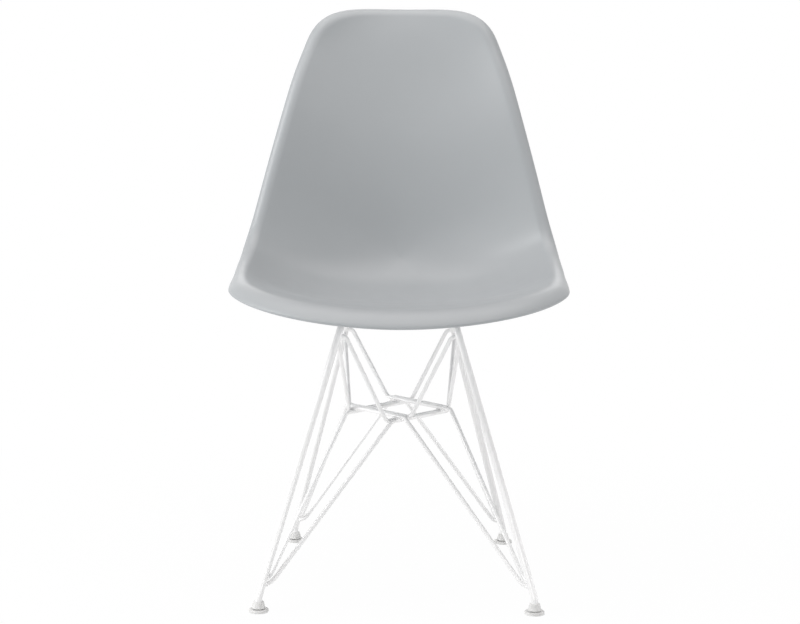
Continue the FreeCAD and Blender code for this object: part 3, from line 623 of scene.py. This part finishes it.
def grow(name, seed_mesh, tree, settings):
    """The plain mesh object that a geometry tree makes from a seed mesh."""
    seed = new_object(f"{name}_seed", seed_mesh)
    modifier = seed.modifiers.new("grow", "NODES")
    modifier.node_group = tree
    identifiers = {
        item.name: item.identifier for item in tree.interface.items_tree if item.in_out == "INPUT"
    }
    for label, value in settings.items():
        modifier[identifiers[label]] = value
    bpy.context.view_layer.update()
    depsgraph = bpy.context.evaluated_depsgraph_get()
    mesh = bpy.data.meshes.new_from_object(seed.evaluated_get(depsgraph))
    mesh.name = name
    seed.modifiers.remove(modifier)
    bpy.data.objects.remove(seed)
    return new_object(name, mesh)


def point_mesh(name, points, edges=()):
    """Points of the base's own coordinates, loose or joined by edges, in the frame's metres."""
    mesh = bpy.data.meshes.new(name)
    mesh.from_pydata([tuple(point) for point in to_frame(points)], edges, [])
    return mesh


def path_mesh(name, points, bends):
    """A chain of edges with the bend radius at each corner."""
    mesh = point_mesh(name, points, [(i, i + 1) for i in range(len(points) - 1)])
    attribute = mesh.attributes.new("bend", "FLOAT", "POINT")
    for item, bend in zip(attribute.data, bends):
        item.value = bend * MM
    return mesh


# Materials
# The part of a noise's range over which a colour or a roughness changes
COLOR_DRIFT = (0.35, 0.65)
ROUGHNESS_DRIFT = (0.3, 0.7)


def new_material(name, color, roughness, metallic=0.0):
    """A material of one colour, with its node tree and its shader."""
    material = bpy.data.materials.new(name)
    material.use_nodes = True
    shader = material.node_tree.nodes["Principled BSDF"]
    shader.inputs["Base Color"].default_value = (*color, 1)
    shader.inputs["Roughness"].default_value = roughness
    shader.inputs["Metallic"].default_value = metallic
    return material, material.node_tree, shader


def object_noise(tree, scale, detail, stretch=(1, 1, 1)):
    """Noise fixed to the piece, its scale in features per metre."""
    place = tree.nodes.new("ShaderNodeTexCoord")
    mapping = tree.nodes.new("ShaderNodeMapping")
    mapping.inputs["Scale"].default_value = stretch
    noise = tree.nodes.new("ShaderNodeTexNoise")
    noise.inputs["Scale"].default_value = scale
    noise.inputs["Detail"].default_value = detail
    tree.links.new(place.outputs["Object"], mapping.inputs["Vector"])
    tree.links.new(mapping.outputs["Vector"], noise.inputs["Vector"])
    return noise.outputs["Fac"]


def vary_color(tree, shader, value, dark, light):
    """A base colour that drifts between two colours."""
    ramp = tree.nodes.new("ShaderNodeValToRGB")
    for element, position, color in zip(ramp.color_ramp.elements, COLOR_DRIFT, (dark, light)):
        element.position = position
        element.color = (*color, 1)
    tree.links.new(value, ramp.inputs["Fac"])
    tree.links.new(ramp.outputs["Color"], shader.inputs["Base Color"])


def vary_roughness(tree, shader, value, low, high):
    """A roughness that drifts between two values."""
    spread = tree.nodes.new("ShaderNodeMapRange")
    spread.inputs["From Min"].default_value = ROUGHNESS_DRIFT[0]
    spread.inputs["From Max"].default_value = ROUGHNESS_DRIFT[1]
    spread.inputs["To Min"].default_value = low
    spread.inputs["To Max"].default_value = high
    tree.links.new(value, spread.inputs["Value"])
    tree.links.new(spread.outputs["Result"], shader.inputs["Roughness"])


def add_bump(tree, shader, value, depth):
    """A relief of some depth in millimetres, on top of any that the shader has."""
    bump = tree.nodes.new("ShaderNodeBump")
    bump.inputs["Strength"].default_value = 1.0
    bump.inputs["Distance"].default_value = depth * MM
    tree.links.new(value, bump.inputs["Height"])
    previous = shader.inputs["Normal"].links
    if previous:
        tree.links.new(previous[0].from_socket, bump.inputs["Normal"])
    tree.links.new(bump.outputs["Normal"], shader.inputs["Normal"])


def shell_plastic():
    """Satin polypropylene from a finely etched mould."""
    material, tree, shader = new_material("shell_plastic", color=(0.40, 0.422, 0.436), roughness=0.36)
    clouds = object_noise(tree, scale=7, detail=3)
    vary_color(tree, shader, clouds, dark=(0.396, 0.417, 0.431), light=(0.404, 0.425, 0.439))
    handling = object_noise(tree, scale=45, detail=4)
    vary_roughness(tree, shader, handling, low=0.33, high=0.39)
    sink_marks = object_noise(tree, scale=26, detail=1)
    add_bump(tree, shader, sink_marks, depth=0.12)
    etching = object_noise(tree, scale=1700, detail=2)
    add_bump(tree, shader, etching, depth=0.035)
    shader.inputs["Specular IOR Level"].default_value = 0.45
    return material


def white_coating():
    """White powder coating with the faint orange peel that it dries to."""
    material, tree, shader = new_material("white_coating", color=(0.95, 0.95, 0.95), roughness=0.34)
    clouds = object_noise(tree, scale=30, detail=3)
    vary_color(tree, shader, clouds, dark=(0.945, 0.945, 0.945), light=(0.96, 0.96, 0.961))
    handling = object_noise(tree, scale=120, detail=3)
    vary_roughness(tree, shader, handling, low=0.3, high=0.38)
    orange_peel = object_noise(tree, scale=300, detail=1)
    add_bump(tree, shader, orange_peel, depth=0.015)
    shader.inputs["Coat Weight"].default_value = 1.0
    shader.inputs["Coat Roughness"].default_value = 0.25
    shader.inputs["Coat IOR"].default_value = 1.7
    shader.inputs["Sheen Weight"].default_value = 0.25
    shader.inputs["Sheen Roughness"].default_value = 0.4
    return material


def glide_nylon():
    """Moulded nylon, slightly waxy."""
    material, tree, shader = new_material("glide_nylon", color=(0.78, 0.78, 0.775), roughness=0.42)
    clouds = object_noise(tree, scale=90, detail=3)
    vary_color(tree, shader, clouds, dark=(0.75, 0.75, 0.742), light=(0.79, 0.79, 0.785))
    handling = object_noise(tree, scale=260, detail=2)
    vary_roughness(tree, shader, handling, low=0.36, high=0.48)
    grain = object_noise(tree, scale=2400, detail=2)
    add_bump(tree, shader, grain, depth=0.02)
    shader.inputs["Subsurface Weight"].default_value = 0.12
    shader.inputs["Subsurface Radius"].default_value = (0.002, 0.002, 0.0018)
    return material


def mount_rubber():
    """Matt black rubber with a dusty bloom."""
    material, tree, shader = new_material("mount_rubber", color=(0.03, 0.03, 0.03), roughness=0.75)
    bloom = object_noise(tree, scale=200, detail=4)
    vary_color(tree, shader, bloom, dark=(0.022, 0.022, 0.023), light=(0.045, 0.045, 0.044))
    handling = object_noise(tree, scale=420, detail=2)
    vary_roughness(tree, shader, handling, low=0.68, high=0.85)
    grain = object_noise(tree, scale=1900, detail=3)
    add_bump(tree, shader, grain, depth=0.05)
    return material


def zinc_plate():
    """Zinc-plated steel, with the faint turning marks of the blank under the plating."""
    steel = (0.62, 0.63, 0.64)
    material, tree, shader = new_material("zinc_plate", color=steel, roughness=0.3, metallic=1.0)
    clouds = object_noise(tree, scale=140, detail=4)
    vary_color(tree, shader, clouds, dark=(0.56, 0.57, 0.60), light=(0.67, 0.67, 0.66))
    handling = object_noise(tree, scale=300, detail=3)
    vary_roughness(tree, shader, handling, low=0.24, high=0.4)
    turning_marks = object_noise(tree, scale=900, detail=2, stretch=(1, 1, 6))
    add_bump(tree, shader, turning_marks, depth=0.02)
    return material


def plain_brass():
    """Turned brass."""
    yellow = (0.72, 0.55, 0.27)
    material, tree, shader = new_material("plain_brass", color=yellow, roughness=0.32, metallic=1.0)
    clouds = object_noise(tree, scale=160, detail=3)
    vary_color(tree, shader, clouds, dark=(0.66, 0.49, 0.23), light=(0.76, 0.59, 0.31))
    handling = object_noise(tree, scale=340, detail=2)
    vary_roughness(tree, shader, handling, low=0.26, high=0.4)
    turning_marks = object_noise(tree, scale=800, detail=2, stretch=(1, 1, 8))
    add_bump(tree, shader, turning_marks, depth=0.02)
    return material


PLASTIC = shell_plastic()
COATING = white_coating()
NYLON = glide_nylon()
RUBBER = mount_rubber()
ZINC = zinc_plate()
BRASS = plain_brass()


def coat(piece, material):
    """Gives a piece one finish all over."""
    piece.data.materials.clear()
    piece.data.materials.append(material)


# Finishes of the parts that keep their own shape
for node_name, node in NODES.items():
    if node_name.startswith("glide_"):
        coat(node, NYLON)
    elif node_name == "rubber_mounts":
        coat(node, RUBBER)
    elif node_name in ("mount_washers", "mount_screws", "ball_studs"):
        coat(node, ZINC)
    elif node_name == "threaded_inserts":
        coat(node, BRASS)
    elif node_name == "seat_shell":
        coat(node, PLASTIC)
    else:
        coat(node, COATING)

shell = seat_shell()
bosses = shell_bosses(shell)
for piece in (shell, bosses):
    coat(piece, PLASTIC)
    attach(piece, "chair")
    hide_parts("seat_shell")

wire_tree = bent_wire_tree()
wires = []
for side in (-1, 1):
    for end in (-1, 1):
        for from_end in (True, False):
            corner = f"{END_NAMES[end]}_{SIDE_NAMES[side]}_{'inner' if from_end else 'outer'}"
            points = wire_points(side, end, from_end)
            wires.append(points)
            wire = grow(f"wire_{corner}", path_mesh("wire_path", points, WIRE_BENDS), wire_tree, {
                "Wire Radius": WIRE_RADIUS * MM,
                "Weld Flare": WELD_FLARE,
                "Weld Length": WELD_LENGTH * MM,
                "Step": WIRE_STEP * MM,
                "Sides": WIRE_SIDES,
                "Material": COATING,
            })
            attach(wire, "chair")
            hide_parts(f"brace_{corner}")

crossing_welds = grow(
    "crossing_welds",
    point_mesh("crossing_points", crossing_places(wires)),
    weld_bead_tree(),
    {
        "Bead Radius": BEAD_RADIUS * MM,
        "Flatness": BEAD_FLATNESS,
        "Unevenness": BEAD_UNEVENNESS * MM,
        "Lumps": BEAD_LUMPS_PER_METRE,
        "Material": COATING,
    },
)
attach(crossing_welds, "chair")


# Floor, backdrop, lights and camera, with lengths in metres
WHITE = (1, 1, 1, 1)
FLOOR_HALF = 14.0
FLOOR_COLOR = (0.92, 0.92, 0.92)
FLOOR_ROUGHNESS = 0.9
AMBIENT_STRENGTH = 0.2
# Strength at which a surface in plain sight is white
SIGHT_STRENGTH = 1.0
# Share of that white in the floor near the chair, which leaves it its shadow, and far away
WHITE_SHARE_NEAR = 0.98
WHITE_SHARE_FAR = 1.0
NEAR_DISTANCE = 0.35
FAR_DISTANCE = 1.1
# Share of that white for the rays that light the chair
WHITE_SHARE_UNSEEN = 0.1
NEUTRAL = (1.0, 1.0, 1.0)
WARM = (1.0, 0.957, 0.943)
# Name, place, point that it faces, width, height, watts and tint
SOFT_BOXES = (
    ("overhead_box", (0.0, 0.0, 2.8), (0, 0, 0.4), 2.4, 2.4, 37.5, WARM),
    ("left_high_box", (-2.4, -0.8, 2.3), (0, 0, 0.55), 1.4, 1.4, 43, NEUTRAL),
    ("right_high_box", (2.4, -1.6, 2.4), (0, 0, 0.55), 1.4, 1.4, 8, NEUTRAL),
    ("rear_box", (0.0, 2.6, 1.6), (0, 0, 0.55), 1.6, 1.6, 6, NEUTRAL),
    ("low_front_box", (0.0, -2.4, 0.36), (0, 0, 0.3), 2.2, 0.6, 9.8, NEUTRAL),
    ("low_left_box", (-2.2, -0.3, 0.3), (0, 0, 0.2), 1.6, 0.5, 11.5, NEUTRAL),
    ("low_right_box", (2.2, -0.3, 0.3), (0, 0, 0.2), 1.6, 0.5, 8, NEUTRAL),
)


def in_plain_sight(tree):
    """Whether the camera sees a place, by itself, in a reflection or through a clear part."""
    rays = tree.nodes.new("ShaderNodeLightPath")
    seen = math_node(tree, "MAXIMUM", rays.outputs["Is Camera Ray"], rays.outputs["Is Glossy Ray"])
    return math_node(tree, "MAXIMUM", seen, rays.outputs["Is Transmission Ray"])


def white_stage_material():
    """A pale floor, white in plain sight, that keeps the chair's soft shadow."""
    material, tree, shader = new_material("white_floor", FLOOR_COLOR, FLOOR_ROUGHNESS)
    shader.inputs["Specular IOR Level"].default_value = 0
    glow = tree.nodes.new("ShaderNodeEmission")
    glow.inputs["Color"].default_value = WHITE
    glow.inputs["Strength"].default_value = SIGHT_STRENGTH
    place = tree.nodes.new("ShaderNodeTexCoord")
    distance = tree.nodes.new("ShaderNodeVectorMath")
    distance.operation = "LENGTH"
    fade = tree.nodes.new("ShaderNodeMapRange")
    fade.interpolation_type = "SMOOTHSTEP"
    fade.inputs["From Min"].default_value = NEAR_DISTANCE
    fade.inputs["From Max"].default_value = FAR_DISTANCE
    fade.inputs["To Min"].default_value = WHITE_SHARE_NEAR
    fade.inputs["To Max"].default_value = WHITE_SHARE_FAR
    tree.links.new(place.outputs["Object"], distance.inputs[0])
    tree.links.new(distance.outputs["Value"], fade.inputs["Value"])
    seen = math_node(tree, "MULTIPLY", in_plain_sight(tree), fade.outputs["Result"])
    share = math_node(tree, "MAXIMUM", seen, WHITE_SHARE_UNSEEN)
    mix = tree.nodes.new("ShaderNodeMixShader")
    tree.links.new(share, mix.inputs["Fac"])
    tree.links.new(shader.outputs["BSDF"], mix.inputs[1])
    tree.links.new(glow.outputs["Emission"], mix.inputs[2])
    tree.links.new(mix.outputs["Shader"], tree.nodes["Material Output"].inputs["Surface"])
    return material


def studio_floor():
    """A wide level floor that isn't part of the chair."""
    mesh = bpy.data.meshes.new("studio_floor")
    signs = ((-1, -1), (1, -1), (1, 1), (-1, 1))
    mesh.from_pydata([(x * FLOOR_HALF, y * FLOOR_HALF, 0) for x, y in signs], [], [(0, 1, 2, 3)])
    floor = new_object("studio_floor", mesh)
    coat(floor, white_stage_material())


def studio_world():
    """Plain surroundings, white in plain sight and dimmer as light on the chair."""
    world = bpy.data.worlds.new("studio")
    bpy.context.scene.world = world
    world.use_nodes = True
    tree = world.node_tree
    ambient = tree.nodes["Background"]
    ambient.inputs["Color"].default_value = WHITE
    ambient.inputs["Strength"].default_value = AMBIENT_STRENGTH
    sight = tree.nodes.new("ShaderNodeBackground")
    sight.inputs["Color"].default_value = WHITE
    sight.inputs["Strength"].default_value = SIGHT_STRENGTH
    mix = tree.nodes.new("ShaderNodeMixShader")
    tree.links.new(in_plain_sight(tree), mix.inputs["Fac"])
    tree.links.new(ambient.outputs["Background"], mix.inputs[1])
    tree.links.new(sight.outputs["Background"], mix.inputs[2])
    tree.links.new(mix.outputs["Shader"], tree.nodes["World Output"].inputs["Surface"])


def soft_box(name, place, target, width, height, watts, tint):
    """A rectangular lamp that faces a point."""
    light = bpy.data.lights.new(name, "AREA")
    light.shape = "RECTANGLE"
    light.size = width
    light.size_y = height
    light.energy = watts
    light.color = tint
    lamp = new_object(name, light)
    lamp.location = place
    lamp.rotation_euler = (Vector(target) - Vector(place)).to_track_quat("-Z", "Y").to_euler()


studio_floor()
studio_world()
for row in SOFT_BOXES:
    soft_box(*row)

# Camera, its focal length in pixels of the picture, its angles in degrees, its place in millimetres
CAMERA_PIXELS = 1975.0
IMAGE_WIDTH = 800.0
SENSOR_WIDTH = 36.0
CAMERA_PITCH = 8.67
CAMERA_TURN = 0.45
CAMERA_DISTANCE = 2840.0
CAMERA_LEVEL = 827.7
CAMERA_ASIDE = 0.9
CAMERA_ROLL = 0.35
camera_data = bpy.data.cameras.new("camera")
camera_data.sensor_width = SENSOR_WIDTH
camera_data.lens = CAMERA_PIXELS * SENSOR_WIDTH / IMAGE_WIDTH
camera = new_object("camera", camera_data)
turn = math.radians(CAMERA_TURN)
camera_place = to_frame([(
    CAMERA_ASIDE + CAMERA_DISTANCE * math.sin(turn),
    -CAMERA_DISTANCE * math.cos(turn),
    CAMERA_LEVEL,
)])[0]
camera.matrix_world = (
    Matrix.Translation(Vector(camera_place))
    @ Matrix.Rotation(turn, 4, "Z")
    @ Matrix.Rotation(math.radians(90 - CAMERA_PITCH), 4, "X")
    @ Matrix.Rotation(math.radians(CAMERA_ROLL), 4, "Z")
)
bpy.context.scene.camera = camera
bpy.context.scene.view_settings.view_transform = "Standard"
